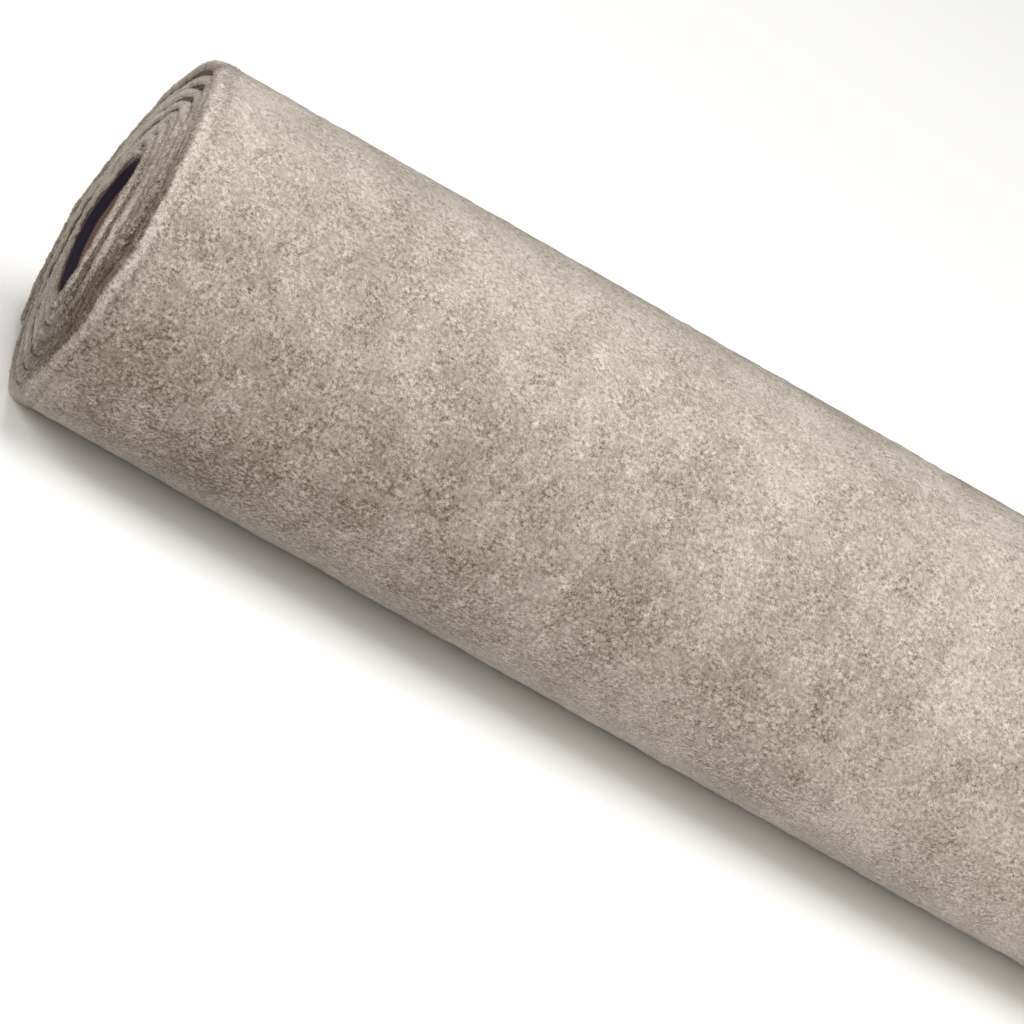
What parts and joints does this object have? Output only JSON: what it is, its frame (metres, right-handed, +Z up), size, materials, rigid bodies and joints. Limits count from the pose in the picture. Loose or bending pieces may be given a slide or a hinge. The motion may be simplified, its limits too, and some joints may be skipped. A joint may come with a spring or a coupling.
{
  "type": "rolled up carpet",
  "caption": "Short pile beige carpet wound up pile side out around an open hollow, lying on its side with a small flat underneath.",
  "frame": {"origin": "on the floor, under the middle of the roll", "axes": "+Z up, X along the roll with the pictured end at -X, -Y towards the viewer"},
  "size_m": [1.2414, 0.2332, 0.2256],
  "materials": {
    "cut_pile": "matt short cut pile, beige, with a brushed nap",
    "woven_backing": "coarse brown woven backing"
  },
  "bodies": {
    "root": {"carpet_roll": "cut_pile"}
  },
  "joints": []
}
